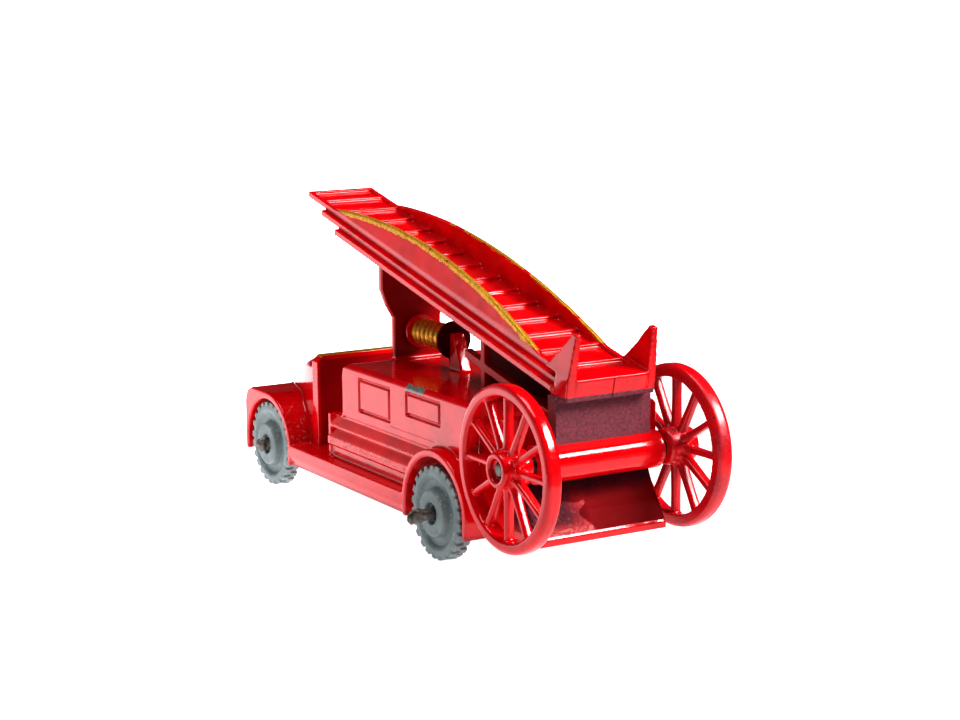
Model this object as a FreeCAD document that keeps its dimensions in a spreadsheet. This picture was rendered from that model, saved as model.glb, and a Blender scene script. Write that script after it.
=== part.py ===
"""Toy fire engine with a wheeled escape ladder, 57 mm long, as a parametric document.

Frame: +X to the engine's left, +Y to its rear, +Z up, in millimetres. The origin is on the ground at the
middle of the engine's length and width. The two castings are divided at their natural part lines, so each
node is a simple form that meets its neighbours face to face.
"""
import FreeCAD, Part
import math
import os
import re
import Sketcher

Vector = FreeCAD.Vector
LEFT = 1
RIGHT = -1
SIDE_NAMES = {LEFT: "left", RIGHT: "right"}

SIZES = {
    # road wheels and their axles
    "rear_axle_y": 9.5,
    "wheelbase": 32.8,
    "road_axle_z": 4.2,
    "axle_radius": 0.6,
    "bore_radius": 0.68,
    "front_axle_reach": 10.0,
    "rear_axle_reach": 11.2,
    "crimp_length": 0.9,
    "crimp_half_height": 0.95,
    "crimp_half_depth": 0.3,
    "road_wheel_radius": 4.2,
    "tread_depth": 0.26,
    "tread_knob_width": 0.6,
    "tread_knob_count": 24,
    "tread_edge_gap": 0.1,
    "tread_row_gap": 0.06,
    "road_wheel_face": 8.5,
    "road_wheel_width": 1.5,
    "road_wheel_dish_radius": 3.1,
    "road_wheel_dish_depth": 0.42,
    "road_wheel_dish_slope": 0.2,
    "road_wheel_boss_radius": 2.05,
    "road_wheel_boss_face": 8.9,
    "road_wheel_mouth_radius": 0.95,
    "road_wheel_mouth_depth": 0.45,
    # running boards, cab floor and scuttle
    "body_outer": 8.68,
    "board_inner": 6.3,
    "board_front": -18.3,
    "board_rear": 3.94,
    "board_bottom": 2.9,
    "board_bevel_top": 3.85,
    "board_bevel_inset": 0.35,
    "floor_top": 4.93,
    "floor_bottom": 3.9,
    "scuttle_rear": -15.8,
    "scuttle_thickness": 1.1,
    "scuttle_half_width": 6.8,
    "scuttle_top": 13.95,
    "scuttle_corner": 1.3,
    # wings
    "wing_inner": 5.3,
    "front_wing_inner": 3.9,
    "wing_wall_face": 5.8,
    "wing_foot": 2.9,
    "wing_corner_waist": 0.3,
    "front_wing_radius": 5.1,
    "front_arch_radius": 4.45,
    "front_wing_nose": -28.4,
    "front_wing_corner": 1.5,
    "front_arch_y": -23.4,
    "rear_wing_radius": 5.56,
    "rear_arch_radius": 4.89,
    # bonnet, grille and headlamps
    "bonnet_front": -27.2,
    "bonnet_rear": -16.9,
    "bonnet_rear_half_width": 6.6,
    "bonnet_rear_top": 13.7,
    "bonnet_front_half_width": 4.0,
    "bonnet_front_top": 11.2,
    "bonnet_shoulder": 1.6,
    "bonnet_wall": 1.3,
    "bonnet_roof": 1.95,
    "bonnet_fall_power": 1.2,
    "bonnet_arch_height": 6.2,
    "bonnet_arch_rear": -19.5,
    "grille_front": -28.5,
    "grille_half_width": 3.3,
    "grille_top": 10.6,
    "grille_bottom": 4.6,
    "grille_border": 0.55,
    "grille_recess": 0.35,
    "grille_bar": 0.34,
    "grille_bar_count": 8,
    "grille_bar_depth": 0.28,
    "lamp_x": 4.9,
    "lamp_z": 7.5,
    "lamp_radius": 0.9,
    "lamp_length": 1.3,
    # locker body with the crew seat in front
    "locker_half_width": 7.4,
    "locker_wall": 1.1,
    "locker_hollow_half_width": 5.29,
    "locker_corner": 1.1,
    "locker_side_foot": 9.4,
    "seat_front": -12.3,
    "seat_top": 9.1,
    "seat_back": -9.5,
    "locker_rear": 19.85,
    "locker_rear_foot": 9.0,
    "locker_side_top": 13.95,
    "deck_top": 14.3,
    "deck_edge_inset": 0.35,
    "side_foot_x": 7.3,
    "flute_depth": 0.4,
    "upper_lip_x": 7.5,
    "upper_lip_bottom": 7.9,
    "upper_lip_height": 0.25,
    "lower_lip_x": 7.6,
    "lower_lip_bottom": 6.2,
    "lower_lip_height": 0.75,
    "panel_depth": 0.22,
    "panel_frame": 0.35,
    "panel_one_front": -6.3,
    "panel_one_length": 6.1,
    "panel_one_bottom": 10.2,
    "panel_one_top": 13.45,
    "panel_two_front": 2.6,
    "panel_two_length": 6.2,
    "panel_two_bottom": 11.4,
    "panel_two_top": 13.65,
    "moulding_front": -0.1,
    "moulding_length": 8.0,
    "moulding_bottom": 9.95,
    "moulding_width": 0.2,
    "seat_rim": 0.45,
    "seat_fillet": 0.8,
    "tail_half_width": 6.4,
    "tail_lip_y": 22.8,
    "tail_lip_bottom": 3.75,
    "tail_lip_thickness": 0.55,
    "tail_sweep_radius": 7.05,
    "tail_sweep_height": 10.8,
    # gallows, hose reel and its stand
    "gallows_y": -8.9,
    "gallows_thickness": 0.8,
    "gallows_half_width": 2.45,
    "gallows_head_half_width": 3.7,
    "gallows_shoulder_bottom": 18.3,
    "gallows_shoulder_top": 20.9,
    "gallows_shoulder_bulge": 0.62,
    "gallows_limit_z": 27.4,
    "reel_z": 16.95,
    "reel_rear": -1.3,
    "reel_flange_radius": 1.6,
    "reel_rear_flange_radius": 1.75,
    "reel_flange_gap": 0.3,
    "reel_flange_thickness": 0.4,
    "reel_core_radius": 0.8,
    "hose_radius": 0.46,
    "hose_layer": 0.3,
    "hose_turn_gap": 0.02,
    "hose_turns": 7,
    "reel_stand_half_width": 0.6,
    "reel_stand_top": 17.65,
    "reel_stand_thickness": 0.7,
    "reel_boss_radius": 0.45,
    "reel_boss_length": 1.35,
    "reel_stand_foot": 2.1,
    # escape carriage
    "escape_axle_y": 21.5,
    "escape_axle_z": 10.45,
    "tube_radius": 1.65,
    "tube_half_length": 6.1,
    "escape_axle_reach": 9.5,
    "plate_half_width": 4.7,
    "plate_front": 21.6,
    "plate_rear": 22.8,
    "plate_top": 15.9,
    "frame_x": 3.1,
    "frame_width": 0.7,
    "frame_depth": 0.8,
    "frame_tip_y": 6.9,
    "frame_tip_z": 17.75,
    "frame_post_y": 9.55,
    "keel_half_width": 0.5,
    "keel_front": 5.2,
    "keel_rear": 19.8,
    # escape wheels
    "escape_wheel_radius": 7.0,
    "escape_tread_edge": 6.75,
    "escape_rim_inner": 5.95,
    "escape_rim_inboard": 7.65,
    "escape_rim_width": 1.45,
    "escape_rim_taper": 0.1,
    "escape_rim_crown": 0.3,
    "escape_hub_radius": 1.6,
    "escape_hub_inboard": 6.85,
    "escape_hub_outboard": 9.75,
    "escape_hub_recess": 0.55,
    "escape_hub_recess_radius": 1.0,
    "escape_hub_round": 0.5,
    "escape_hub_bevel": 0.2,
    "spoke_width": 0.62,
    "spoke_tip_width": 0.52,
    "spoke_root": 0.3,
    "spoke_depth": 0.85,
    "spoke_count": 12,
    # ladder, measured in its own sloping frame from the top of its foot
    "ladder_incline": 13.4,
    "foot_y": 23.8,
    "foot_z": 17.68,
    "ladder_tip": -48.6,
    "section_setback": 3.9,
    "section_thickness": 0.58,
    "top_half_width": 3.5,
    "section_flare": 0.5,
    "rail_width": 0.42,
    "bed_depth": 0.3,
    "rung_first": -3.2,
    "rung_spacing": 3.28,
    "rung_width": 0.5,
    "rung_count": 14,
    "truss_front": -43.1,
    "truss_rear": -5.5,
    "truss_rise": 2.3,
    "truss_thickness": 0.42,
    "truss_outer": 3.5,
    "truss_draft": 0.35,
    "foot_length": 1.7,
    "foot_drop": 1.9,
    "foot_overhang": 0.4,
    "horn_inner": 3.5,
    "horn_thickness": 0.85,
    "horn_height": 3.85,
    "horn_reach": -3.3,
    "horn_tip_setback": 0.35,
    "horn_tip_width": 0.6,
    "horn_waist": 2.0,
    "horn_draft": 0.35,
}

doc = FreeCAD.newDocument("toy_fire_engine")
sheet = doc.addObject("Spreadsheet::Sheet", "Sizes")
for row, (alias, value) in enumerate(SIZES.items(), start=1):
    sheet.set("A%d" % row, alias)
    sheet.set("B%d" % row, str(value))
    sheet.setAlias("B%d" % row, alias)
doc.recompute()

subparts = []


def linked(formula):
    """Turn the size names in a formula into references to the sheet's cells."""
    def cell(word):
        return "Sizes." + word.group() if word.group() in SIZES else word.group()
    return re.sub(r"[a-z]\w*", cell, formula)


def bind(feature, **formulas):
    """Bind a feature's properties to formulas of the sheet's sizes; two underscores stand for a dot."""
    for name, formula in formulas.items():
        feature.setExpression(name.replace("__", "."), linked(formula))


def new_body(label):
    body = doc.addObject("PartDesign::Body", label)
    body.Label = label
    subparts.append(body)
    return body


def new_sketch(body, role, offset="0"):
    """A sketch on one of the body's own origin planes, moved along the plane's normal."""
    plane = next(feature for feature in body.Origin.OriginFeatures if feature.Role == role)
    sketch = body.newObject("Sketcher::SketchObject", body.Name + "_sketch")
    sketch.AttachmentSupport = (plane, "")
    sketch.MapMode = "FlatFace"
    bind(sketch, AttachmentOffset__Base__z=offset)
    return sketch


def pin_coordinate(sketch, kind, geometry, point, formula):
    """Fix one coordinate of a sketch point to a formula."""
    index = sketch.addConstraint(Sketcher.Constraint(kind, -1, 1, geometry, point, 1.0))
    sketch.setExpression("Constraints[%d]" % index, linked(formula))


def outline(sketch, corners):
    """Draw a closed outline of straight edges whose corners are pairs of formulas."""
    count = len(corners)
    first = sketch.GeometryCount
    for index in range(count):
        here = 2 * math.pi * index / count
        there = 2 * math.pi * (index + 1) / count
        sketch.addGeometry(Part.LineSegment(Vector(math.cos(here), math.sin(here), 0),
                                            Vector(math.cos(there), math.sin(there), 0)))
    for index, (across, along) in enumerate(corners):
        edge = first + index
        following = first + (index + 1) % count
        sketch.addConstraint(Sketcher.Constraint("Coincident", edge, 2, following, 1))
        pin_coordinate(sketch, "DistanceX", edge, 1, across)
        pin_coordinate(sketch, "DistanceY", edge, 1, along)


def rectangle(sketch, left, right, low, high):
    outline(sketch, [(left, low), (right, low), (right, high), (left, high)])


def pad(body, sketch, length):
    feature = body.newObject("PartDesign::Pad", body.Name + "_pad")
    feature.Profile = sketch
    bind(feature, Length=length)
    return feature


def pocket(body, sketch, length, reverse=False):
    feature = body.newObject("PartDesign::Pocket", body.Name + "_pocket")
    feature.Profile = sketch
    feature.Reversed = reverse
    bind(feature, Length=length)
    return feature


def revolution(body, sketch):
    """Turn a profile in the XZ plane once round the X axis."""
    feature = body.newObject("PartDesign::Revolution", body.Name + "_revolution")
    feature.Profile = sketch
    feature.ReferenceAxis = (sketch, ["H_Axis"])
    feature.Angle = 360
    return feature


def origin_axis(body, role):
    return next(feature for feature in body.Origin.OriginFeatures if feature.Role == role)


def polar_pattern(body, feature, count):
    """Repeat a feature evenly round the body's X axis."""
    pattern = body.newObject("PartDesign::PolarPattern", body.Name + "_polar")
    pattern.Originals = [feature]
    pattern.Axis = (origin_axis(body, "X_Axis"), [""])
    pattern.Angle = 360
    bind(pattern, Occurrences=count)
    body.Tip = pattern
    return pattern


def linear_pattern(body, feature, role, length, count, reverse=False):
    pattern = body.newObject("PartDesign::LinearPattern", body.Name + "_linear")
    pattern.Originals = [feature]
    pattern.Direction = (origin_axis(body, role), [""])
    pattern.Reversed = reverse
    bind(pattern, Length=length, Occurrences=count)
    body.Tip = pattern
    return pattern


def as_tool(body):
    """Take a body out of the list of sub-parts because it only shapes others."""
    subparts.remove(body)
    return body


def mirrored_to(side, corners):
    """The same outline on the engine's left or right side."""
    return [(across if side == LEFT else "-(%s)" % across, height) for across, height in corners]


def mirrored_outline(half):
    """A closed outline from the corners of its +X half, listed from the bottom up."""
    return half + [("-(%s)" % across, height) for across, height in reversed(half)]


def prism_x(label, start, length, corners):
    """A body with an outline of (Y, Z) corners, run along X from start."""
    body = new_body(label)
    sketch = new_sketch(body, "YZ_Plane", start)
    outline(sketch, corners)
    pad(body, sketch, length)
    return body


def prism_y(label, end, length, corners):
    """A body with an outline of (X, Z) corners, run forward along Y from its rear end."""
    body = new_body(label)
    sketch = new_sketch(body, "XZ_Plane", "-(%s)" % end)
    outline(sketch, corners)
    pad(body, sketch, length)
    return body


def block(name, x, y, z):
    """A box from three (low, high) pairs of formulas."""
    box = doc.addObject("Part::Box", name)
    bind(box, Length="(%s) - (%s)" % (x[1], x[0]), Width="(%s) - (%s)" % (y[1], y[0]),
         Height="(%s) - (%s)" % (z[1], z[0]),
         Placement__Base__x=x[0], Placement__Base__y=y[0], Placement__Base__z=z[0])
    return box


def rod(name, x, y, z, radius):
    """A cylinder along X between a (low, high) pair of formulas."""
    cylinder = doc.addObject("Part::Cylinder", name)
    cylinder.Placement.Rotation = FreeCAD.Rotation(Vector(0, 1, 0), 90)
    bind(cylinder, Radius=radius, Height="(%s) - (%s)" % (x[1], x[0]),
         Placement__Base__x=x[0], Placement__Base__y=y, Placement__Base__z=z)
    return cylinder


def side_span(side, inner, outer):
    """The (low, high) X pair of formulas that runs from inner to outer on one side."""
    if side == LEFT:
        return inner, outer
    return "-(%s)" % outer, "-(%s)" % inner


def fuse(name, *shapes):
    feature = doc.addObject("Part::MultiFuse", name)
    feature.Shapes = list(shapes)
    return feature


def cut(name, base, tool):
    feature = doc.addObject("Part::Cut", name)
    feature.Base = base
    feature.Tool = tool
    return feature


def common(name, first, second):
    feature = doc.addObject("Part::MultiCommon", name)
    feature.Shapes = [first, second]
    return feature


def as_subpart(label, feature):
    """Count a finished boolean as a sub-part in place of the bodies that went into it."""
    feature.Label = label
    subparts.append(feature)
    return feature


def place(feature, x="0", y="0", z="0", axis=Vector(0, 0, 1), angle=None):
    bind(feature, Placement__Base__x=x, Placement__Base__y=y, Placement__Base__z=z)
    if angle:
        feature.Placement.Rotation = FreeCAD.Rotation(axis, 1)
        bind(feature, Placement__Rotation__Angle=angle)


def onto_ladder(feature):
    """Move a shape from the ladder's own frame to its sloping place."""
    place(feature, y="foot_y", z="foot_z", axis=Vector(-1, 0, 0), angle="ladder_incline")


# ---- running boards, cab floor and scuttle -------------------------------------------------------------

def make_running_board(side):
    """A board with a vertical outer face and a bevel under it."""
    corners = mirrored_to(side, [
        ("board_inner", "board_bottom"),
        ("body_outer - board_bevel_inset", "board_bottom"),
        ("body_outer", "board_bevel_top"),
        ("body_outer", "floor_top"),
        ("board_inner", "floor_top")])
    prism_y(SIDE_NAMES[side] + "_running_board", "board_rear", "board_rear - board_front", corners)


def make_cab_floor():
    as_subpart("cab_floor", block("cab_floor", ("-board_inner", "board_inner"),
                                  ("board_front", "seat_front"), ("floor_bottom", "floor_top")))


def make_scuttle():
    """The upright plate behind the bonnet, with its two upper corners cut off."""
    prism_y("scuttle", "scuttle_rear", "scuttle_thickness", [
        ("-scuttle_half_width", "floor_top"),
        ("scuttle_half_width", "floor_top"),
        ("scuttle_half_width", "scuttle_top - scuttle_corner / 2"),
        ("scuttle_half_width - scuttle_corner / 2", "scuttle_top"),
        ("-scuttle_half_width + scuttle_corner / 2", "scuttle_top"),
        ("-scuttle_half_width", "scuttle_top - scuttle_corner / 2")])


# ---- wings ---------------------------------------------------------------------------------------------

def lamp_cylinder(name, side):
    """A cylinder that runs forward from the bonnet's front end."""
    lamp = doc.addObject("Part::Cylinder", name)
    lamp.Placement.Rotation = FreeCAD.Rotation(Vector(1, 0, 0), 90)
    bind(lamp, Radius="lamp_radius", Height="lamp_length", Placement__Base__x="%d * lamp_x" % side,
         Placement__Base__y="bonnet_front", Placement__Base__z="lamp_z")
    return lamp


FRONT_AXLE_Y = "rear_axle_y - wheelbase"


def make_wing(side, end, inner, axle_y, arch_y, radius, arch_radius):
    """An arch over a wheel, closed on its inner side by a wall that carries the axle."""
    label = "%s_%s_wing" % (SIDE_NAMES[side], end)
    whole = side_span(side, inner, "body_outer")
    cavity = side_span(side, "wing_wall_face", "body_outer + 1")
    outer = rod(label + "_outer", whole, arch_y, "road_axle_z", radius)
    if end == "front":
        square = as_tool(prism_x(label + "_nose", whole[0], "body_outer - (%s)" % inner, [
            ("front_wing_nose", "wing_foot"),
            ("front_arch_y", "wing_foot"),
            ("front_arch_y", "road_axle_z + front_wing_radius"),
            ("front_wing_nose + front_wing_corner", "road_axle_z + front_wing_radius"),
            ("front_wing_nose + front_wing_corner * wing_corner_waist",
             "road_axle_z + front_wing_radius - front_wing_corner * wing_corner_waist"),
            ("front_wing_nose", "road_axle_z + front_wing_radius - front_wing_corner")]))
        outer = cut(label + "_with_lamp_seat", fuse(label + "_mass", outer, square),
                    lamp_cylinder(label + "_lamp_seat", side))
    below = block(label + "_below", ("-body_outer - 1", "body_outer + 1"),
                  ("(%s) - 2 * (%s)" % (arch_y, radius), "(%s) + 2 * (%s)" % (arch_y, radius)),
                  ("-road_axle_z", "wing_foot"))
    wheel_space = rod(label + "_wheel_space", cavity, arch_y, "road_axle_z", arch_radius)
    slot = block(label + "_slot", cavity,
                 ("(%s) - (%s)" % (arch_y, arch_radius), "(%s) + (%s)" % (arch_y, arch_radius)),
                 ("0", "road_axle_z"))
    bore = rod(label + "_bore", ("-body_outer", "body_outer"), axle_y, "road_axle_z", "bore_radius")
    as_subpart(label, cut(label, outer, fuse(label + "_openings", below, wheel_space, slot, bore)))


# ---- bonnet, grille and headlamps ----------------------------------------------------------------------

def size(alias):
    return float(sheet.get(alias))


def between(start, end, share):
    """A length part of the way from one size to another."""
    return size(start) + share * (size(end) - size(start))


def bonnet_section(y, half_width, bottom, top, shoulder):
    """A closed wire across the bonnet: upright sides, a round shoulder on each and a flat top."""
    inner = half_width - shoulder
    lift = top - shoulder
    slant = shoulder * math.sqrt(0.5)
    points = {
        "foot": Vector(-half_width, y, bottom),
        "left": Vector(-half_width, y, lift),
        "left_middle": Vector(-inner - slant, y, lift + slant),
        "left_top": Vector(-inner, y, top),
        "right_top": Vector(inner, y, top),
        "right_middle": Vector(inner + slant, y, lift + slant),
        "right": Vector(half_width, y, lift),
        "right_foot": Vector(half_width, y, bottom),
    }
    return Part.Wire([
        Part.LineSegment(points["foot"], points["left"]).toShape(),
        Part.Arc(points["left"], points["left_middle"], points["left_top"]).toShape(),
        Part.LineSegment(points["left_top"], points["right_top"]).toShape(),
        Part.Arc(points["right_top"], points["right_middle"], points["right"]).toShape(),
        Part.LineSegment(points["right"], points["right_foot"]).toShape(),
        Part.LineSegment(points["right_foot"], points["foot"]).toShape()])


def make_bonnet():
    """A hollow nose that narrows and falls towards the grille, with arches over the axle."""
    stations = 4
    sections = []
    for index in range(stations):
        along = index / (stations - 1)
        fall = along ** size("bonnet_fall_power")
        sections.append(bonnet_section(
            between("bonnet_rear", "bonnet_front", along),
            between("bonnet_rear_half_width", "bonnet_front_half_width", fall),
            size("floor_top"),
            between("bonnet_rear_top", "bonnet_front_top", fall),
            size("bonnet_shoulder")))
    mass = doc.addObject("Part::Feature", "bonnet_mass")
    mass.Shape = Part.makeLoft(sections, True, False)
    arch = block("bonnet_arch", ("-body_outer", "body_outer"), ("bonnet_front - 1", "bonnet_arch_rear"),
                 ("0", "bonnet_arch_height"))
    hollow = block("bonnet_hollow",
                   ("-bonnet_front_half_width + bonnet_wall", "bonnet_front_half_width - bonnet_wall"),
                   ("bonnet_front + bonnet_wall", "bonnet_rear - bonnet_wall"),
                   ("0", "bonnet_front_top - bonnet_roof"))
    tools = [arch, hollow]
    for side in (LEFT, RIGHT):
        outside = side_span(side, "front_wing_inner", "body_outer + 1")
        name = SIDE_NAMES[side] + "_bonnet_clearance"
        tools.append(rod(name, outside, "front_arch_y", "road_axle_z", "front_wing_radius"))
        tools.append(block(name + "_nose", outside, ("front_wing_nose", "front_arch_y"),
                           ("0", "road_axle_z + front_wing_radius")))
    as_subpart("bonnet", cut("bonnet", mass, fuse("bonnet_clearances", *tools)))


def make_radiator_grille():
    """A plate with a recess that holds upright bars."""
    body = new_body("radiator_grille")
    face = new_sketch(body, "XZ_Plane", "-bonnet_front")
    outline(face, [("-grille_half_width", "grille_bottom"), ("grille_half_width", "grille_bottom"),
                   ("grille_half_width", "grille_top - grille_border"),
                   ("grille_half_width - grille_border", "grille_top"),
                   ("-grille_half_width + grille_border", "grille_top"),
                   ("-grille_half_width", "grille_top - grille_border")])
    pad(body, face, "bonnet_front - grille_front")
    recess = new_sketch(body, "XZ_Plane", "-grille_front")
    rectangle(recess, "-grille_half_width + grille_border", "grille_half_width - grille_border",
              "grille_bottom + grille_border", "grille_top - 2 * grille_border")
    pocket(body, recess, "grille_recess")
    bar = new_sketch(body, "XZ_Plane", "-(grille_front + grille_recess)")
    first_edge = "-grille_half_width + grille_border + grille_bar"
    rectangle(bar, first_edge, first_edge + " + grille_bar", "grille_bottom + grille_border",
              "grille_top - 2 * grille_border")
    first_bar = pad(body, bar, "grille_bar_depth")
    linear_pattern(body, first_bar, "X_Axis", "2 * (grille_half_width - grille_border) - 3 * grille_bar",
                   "grille_bar_count")


def make_headlamp(side):
    """A lamp faired into the nose of the wing."""
    label = SIDE_NAMES[side] + "_headlamp"
    as_subpart(label, lamp_cylinder(label, side))


# ---- locker body ---------------------------------------------------------------------------------------

def rounding(name, y, z, radius, into_y, into_z):
    """The material between a square corner that runs along X and a round one inside it.

    into_y and into_z are 1 or -1 and say which way the round's centre lies from the corner.
    """
    centre_y = "(%s) + %d * (%s)" % (y, into_y, radius)
    centre_z = "(%s) + %d * (%s)" % (z, into_z, radius)
    corner = block(name + "_corner", ("-locker_half_width", "locker_half_width"),
                   (y, centre_y) if into_y > 0 else (centre_y, y),
                   (z, centre_z) if into_z > 0 else (centre_z, z))
    return cut(name, corner, rod(name + "_round", ("-body_outer", "body_outer"), centre_y, centre_z, radius))


def make_locker_body():
    """The hollow box that carries the deck, with the seat in front and two long flutes down each side."""
    flute = "locker_half_width - flute_depth"
    upper = as_tool(prism_y("locker_upper", "locker_rear", "locker_rear - seat_back", mirrored_outline([
        (flute, "locker_rear_foot"),
        ("locker_half_width", "locker_side_foot"),
        ("locker_half_width", "locker_side_top"),
        ("locker_half_width - deck_edge_inset", "deck_top")])))
    lower = as_tool(prism_y("locker_lower", "rear_axle_y", "rear_axle_y - seat_front", mirrored_outline([
        ("side_foot_x", "floor_top"),
        ("side_foot_x", "lower_lip_bottom"),
        ("lower_lip_x", "lower_lip_bottom"),
        ("lower_lip_x", "lower_lip_bottom + lower_lip_height"),
        (flute, "upper_lip_bottom"),
        ("upper_lip_x", "upper_lip_bottom"),
        ("upper_lip_x", "upper_lip_bottom + upper_lip_height"),
        (flute, "seat_top")])))
    seat_rim = block("seat_rim_bar", ("-upper_lip_x", "upper_lip_x"), ("seat_front", "seat_front + seat_rim"),
                     ("floor_top", "seat_top"))
    tail = block("locker_tail", ("-tail_half_width", "tail_half_width"), ("rear_axle_y", "locker_rear"),
                 ("floor_bottom", "seat_top"))
    fillet = rounding("seat_back_fillet", "seat_back", "seat_top", "seat_fillet", -1, 1)
    mass = fuse("locker_mass", upper, lower, seat_rim, tail, fillet)
    inside = ("-locker_hollow_half_width", "locker_hollow_half_width")
    tools = [
        rounding("deck_front_rounding", "seat_back", "deck_top", "locker_corner", 1, -1),
        block("locker_hollow", inside, ("seat_back + locker_wall", "locker_rear - locker_wall"),
              ("0", "deck_top - locker_wall")),
        block("seat_hollow", inside, ("seat_front + locker_wall", "seat_back + locker_wall"),
              ("0", "seat_top - locker_wall")),
        block("apron_space", ("-body_outer", "body_outer"), ("locker_rear - locker_wall", "locker_rear + 1"),
              ("0", "locker_rear_foot")),
    ]
    for side in (LEFT, RIGHT):
        name = SIDE_NAMES[side] + "_locker"
        outside = side_span(side, "wing_inner", "body_outer + 1")
        tools.append(rod(name + "_wing_space", outside, "rear_axle_y", "road_axle_z", "rear_wing_radius"))
        groove = side_span(side, "locker_half_width - panel_depth", "locker_half_width + 1")
        tools.append(block(name + "_moulding", groove,
                           ("moulding_front", "moulding_front + moulding_length"),
                           ("moulding_bottom", "moulding_bottom + moulding_width")))
        for panel in ("panel_one", "panel_two"):
            front = panel + "_front"
            rear = "%s_front + %s_length" % (panel, panel)
            low = panel + "_bottom"
            high = panel + "_top"
            around = block("%s_%s_around" % (name, panel), groove, (front, rear), (low, high))
            within = block("%s_%s_within" % (name, panel), groove,
                           (front + " + panel_frame", rear + " - panel_frame"),
                           (low + " + panel_frame", high + " - panel_frame"))
            tools.append(cut("%s_%s_groove" % (name, panel), around, within))
    as_subpart("locker_body", cut("locker_body", mass, fuse("locker_spaces", *tools)))


def make_tail_apron():
    """The rear wall's foot, which sweeps back to a thin lip."""
    slab = as_tool(prism_x("tail_apron_mass", "-tail_half_width", "2 * tail_half_width", [
        ("locker_rear - locker_wall", "tail_lip_bottom"),
        ("tail_lip_y", "tail_lip_bottom"),
        ("tail_lip_y", "tail_lip_bottom + tail_lip_thickness"),
        ("locker_rear", "locker_rear_foot"),
        ("locker_rear - locker_wall", "locker_rear_foot")]))
    scoop = rod("tail_apron_scoop", ("-body_outer", "body_outer"), "locker_rear + tail_sweep_radius",
                "tail_sweep_height", "tail_sweep_radius")
    as_subpart("tail_apron", cut("tail_apron", slab, scoop))


# ---- gallows, hose reel and stand ----------------------------------------------------------------------

def ladder_envelope(name, depth):
    """The space above a plane that lies parallel to the ladder, a depth below its top."""
    space = as_tool(prism_x(name, "-body_outer", "2 * body_outer", [
        ("2 * ladder_tip", "-(%s)" % depth),
        ("-ladder_tip", "-(%s)" % depth),
        ("-ladder_tip", "-ladder_tip"),
        ("2 * ladder_tip", "-ladder_tip")]))
    onto_ladder(space)
    return space


def make_gallows():
    """The upright plate that holds up the ladder, with rounded shoulders under a wider head."""
    bulge = "gallows_half_width + (gallows_head_half_width - gallows_half_width) * gallows_shoulder_bulge"
    corners = mirrored_outline([
        ("gallows_half_width", "deck_top"),
        ("gallows_half_width", "gallows_shoulder_bottom"),
        (bulge, "(gallows_shoulder_bottom + gallows_shoulder_top) / 2"),
        ("gallows_head_half_width", "gallows_shoulder_top"),
        ("gallows_head_half_width", "gallows_limit_z")])
    plate = as_tool(prism_y("gallows_plate", "gallows_y + gallows_thickness", "gallows_thickness", corners))
    as_subpart("gallows", cut("gallows", plate, ladder_envelope("gallows_limit", "3 * section_thickness")))


def rod_y(name, radius, front, length, z):
    """A cylinder along +Y on the engine's middle plane."""
    cylinder = doc.addObject("Part::Cylinder", name)
    cylinder.Placement.Rotation = FreeCAD.Rotation(Vector(1, 0, 0), -90)
    bind(cylinder, Radius=radius, Height=length, Placement__Base__y=front, Placement__Base__z=z)
    return cylinder


REEL_FRONT = "gallows_y + gallows_thickness"
HOSE_FRONT = REEL_FRONT + " + reel_flange_gap + reel_flange_thickness"
HOSE_LENGTH = "reel_rear - reel_flange_thickness - (%s)" % HOSE_FRONT


def make_hose_reel():
    """A core between two flanges, with a boss that ends in the stand behind it."""
    core = rod_y("reel_core", "reel_core_radius", REEL_FRONT, "reel_rear - (%s)" % REEL_FRONT, "reel_z")
    front = rod_y("reel_front_flange", "reel_flange_radius", REEL_FRONT + " + reel_flange_gap",
                  "reel_flange_thickness", "reel_z")
    rear = rod_y("reel_rear_flange", "reel_rear_flange_radius", "reel_rear - reel_flange_thickness",
                 "reel_flange_thickness", "reel_z")
    boss = rod_y("reel_boss", "reel_boss_radius", "reel_rear - reel_flange_thickness",
                 "reel_flange_thickness + reel_boss_length", "reel_z")
    as_subpart("hose_reel", fuse("hose_reel", core, front, rear, boss))


def make_hose():
    """Turns of hose lying side by side round the reel's core, over a thinner layer that joins them."""
    pitch = "(%s) / hose_turns" % HOSE_LENGTH
    turns = []
    for index in range(int(size("hose_turns"))):
        front = "%s + %d * %s + hose_turn_gap" % (HOSE_FRONT, index, pitch)
        turns.append(rod_y("hose_turn_%d" % (index + 1), "reel_core_radius + hose_radius", front,
                           pitch + " - 2 * hose_turn_gap", "reel_z"))
    layer = rod_y("hose_layer_mass", "reel_core_radius + hose_layer", HOSE_FRONT, HOSE_LENGTH, "reel_z")
    core = rod_y("hose_core_space", "reel_core_radius", HOSE_FRONT + " - 1", HOSE_LENGTH + " + 2", "reel_z")
    as_subpart("hose", cut("hose", fuse("hose_mass", layer, *turns), core))


def make_reel_stand():
    """A post behind the reel that grows deeper towards its foot and carries the reel's boss."""
    post = as_tool(prism_x("reel_stand_post", "-reel_stand_half_width", "2 * reel_stand_half_width", [
        ("reel_rear", "deck_top"),
        ("reel_rear + reel_stand_foot", "deck_top"),
        ("reel_rear + reel_stand_thickness", "reel_stand_top"),
        ("reel_rear", "reel_stand_top")]))
    boss_space = rod_y("reel_stand_bore", "reel_boss_radius", "reel_rear - 1", "reel_boss_length + 2",
                       "reel_z")
    as_subpart("reel_stand", cut("reel_stand", post, boss_space))


# ---- escape carriage -----------------------------------------------------------------------------------

def make_escape_axle_tube():
    tube = rod("escape_tube_mass", ("-tube_half_length", "tube_half_length"), "escape_axle_y",
               "escape_axle_z", "tube_radius")
    bore = rod("escape_tube_bore", ("-tube_half_length - 1", "tube_half_length + 1"), "escape_axle_y",
               "escape_axle_z", "bore_radius")
    as_subpart("escape_axle_tube", cut("escape_axle_tube", tube, bore))


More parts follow.
